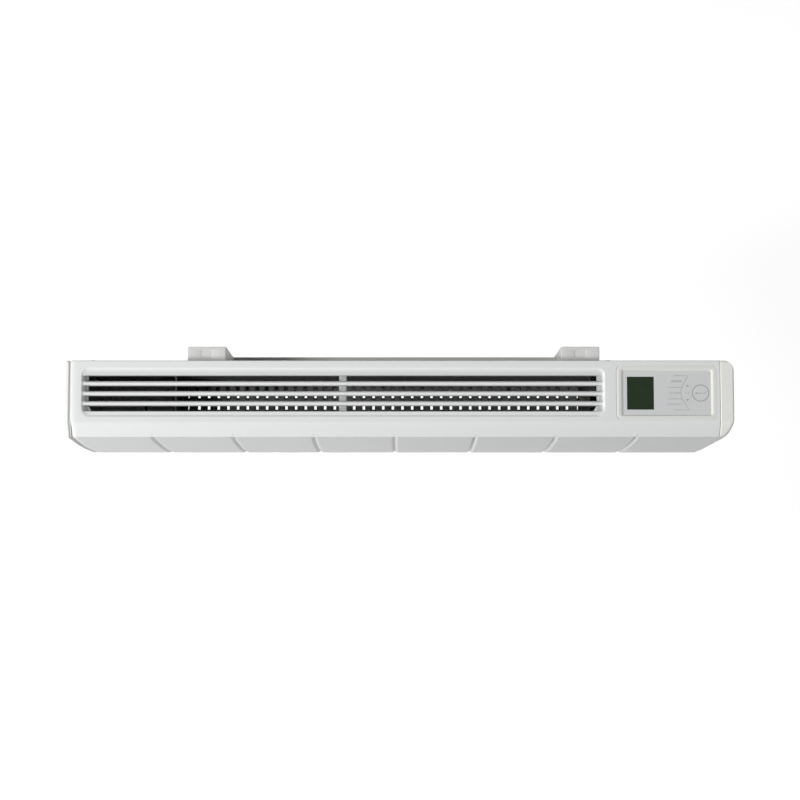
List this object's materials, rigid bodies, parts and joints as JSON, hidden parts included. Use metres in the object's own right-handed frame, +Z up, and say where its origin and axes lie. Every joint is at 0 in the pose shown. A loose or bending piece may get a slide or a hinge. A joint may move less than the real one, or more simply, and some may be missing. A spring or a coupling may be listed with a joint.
{
  "type": "electric convector heater",
  "caption": "Low wall-hung electric convector heater with a fluted front, slotted top outlet, top keypad and display, lifting off its wall bracket.",
  "frame": {"origin": "centre of the rectangle of four wall screw holes in the bracket, on the wall's face", "axes": "+Y into the wall, +Z up, +X along the wall to the right as seen from the room"},
  "size_m": [0.6593, 0.095, 0.209],
  "materials": {
    "casing_white": "satin white moulding",
    "trim_white": "fine satin, slightly warmer white",
    "panel_steel": "light grey powder coat",
    "support_steel": "zinc plated sheet",
    "screw_steel": "zinc plated",
    "bumper_rubber": "moulded rubber",
    "element_aluminium": "mill finish, heat dulled",
    "element_sheath": "heat darkened tube",
    "shield_aluminium": "mill finish sheet",
    "ceramic_bush": "unglazed",
    "black_plastic": "fine texture",
    "keypad_film": "silver-grey printed film",
    "display_clear": "clear window",
    "display_green": "dark green display",
    "board_green": "solder mask",
    "relay_blue": "moulded case",
    "capacitor_yellow": "moulded case",
    "connector_white": "nylon",
    "brass_parts": "plain brass",
    "lead_red": "silicone sleeve",
    "lead_blue": "silicone sleeve",
    "rocker_black": "polished",
    "bracket_paint": "light grey powder coat",
    "cap_grey": "fine satin"
  },
  "bodies": {
    "bracket": {"bracket_bar": "bracket_paint", "bracket_rivets": "screw_steel", "bracket_arm_left": "bracket_paint", "bracket_cap_left": "cap_grey", "bracket_arm_right": "bracket_paint", "bracket_cap_right": "cap_grey"},
    "heater": {"front_casing": "casing_white", "left_side_trim": "trim_white", "right_end_cap": "trim_white", "control_housing": "trim_white", "back_panel": "panel_steel", "bottom_grille": "casing_white", "end_cap_screws": "screw_steel", "back_panel_screws": "screw_steel", "wall_bumpers": "bumper_rubber", "element_fins": "element_aluminium", "element_rod": "element_sheath", "element_terminals": "screw_steel", "element_bush_left": "ceramic_bush", "element_bush_right": "ceramic_bush", "element_support_left": "support_steel", "element_support_right": "support_steel", "front_heat_shield": "shield_aluminium", "rear_heat_shield": "shield_aluminium", "thermal_cutout": "black_plastic", "cutout_clip": "support_steel", "keypad_overlay": "keypad_film", "display_window": "display_clear", "lcd_module": "display_green", "control_pcb": "board_green", "pcb_screws": "screw_steel", "tact_switches": "black_plastic", "relay": "relay_blue", "suppressor_capacitor": "capacitor_yellow", "board_connector": "connector_white", "terminal_block": "connector_white", "terminal_screws": "brass_parts", "cable_gland": "trim_white", "cable_clamp": "connector_white", "clamp_screws": "screw_steel", "earth_stud": "brass_parts", "room_sensor": "black_plastic", "sensor_clip": "connector_white", "element_lead_right": "lead_red", "element_lead_left": "lead_blue", "switch_housing": "black_plastic"},
    "key_mode": {"key_mode": "keypad_film"},
    "key_clock": {"key_clock": "keypad_film"},
    "key_advance": {"key_advance": "keypad_film"},
    "key_up": {"key_up": "keypad_film"},
    "key_down": {"key_down": "keypad_film"},
    "key_enter": {"key_enter": "keypad_film"},
    "rocker": {"rocker": "rocker_black"}
  },
  "joints": [
    {"name": "lift_off", "type": "slide", "parent": "bracket", "child": "heater", "axis": [0, 0, 1], "range_m": [0, 0.014]},
    {"name": "key_mode_press", "type": "slide", "parent": "heater", "child": "key_mode", "axis": [0, 0, -1], "range_m": [0, 0.0003], "stiffness_N_per_m": 500, "springref_m": -0.0005},
    {"name": "key_clock_press", "type": "slide", "parent": "heater", "child": "key_clock", "axis": [0, 0, -1], "range_m": [0, 0.0003], "stiffness_N_per_m": 500, "springref_m": -0.0005},
    {"name": "key_advance_press", "type": "slide", "parent": "heater", "child": "key_advance", "axis": [0, 0, -1], "range_m": [0, 0.0003], "stiffness_N_per_m": 500, "springref_m": -0.0005},
    {"name": "key_up_press", "type": "slide", "parent": "heater", "child": "key_up", "axis": [0, 0, -1], "range_m": [0, 0.0003], "stiffness_N_per_m": 500, "springref_m": -0.0005},
    {"name": "key_down_press", "type": "slide", "parent": "heater", "child": "key_down", "axis": [0, 0, -1], "range_m": [0, 0.0003], "stiffness_N_per_m": 500, "springref_m": -0.0005},
    {"name": "key_enter_press", "type": "slide", "parent": "heater", "child": "key_enter", "axis": [0, 0, -1], "range_m": [0, 0.0003], "stiffness_N_per_m": 500, "springref_m": -0.0005},
    {"name": "rocker_tilt", "type": "hinge", "parent": "heater", "child": "rocker", "pos_m": [0.333, -0.05, -0.055], "axis": [0, 1, 0], "range_deg": [-16, 0]}
  ]
}
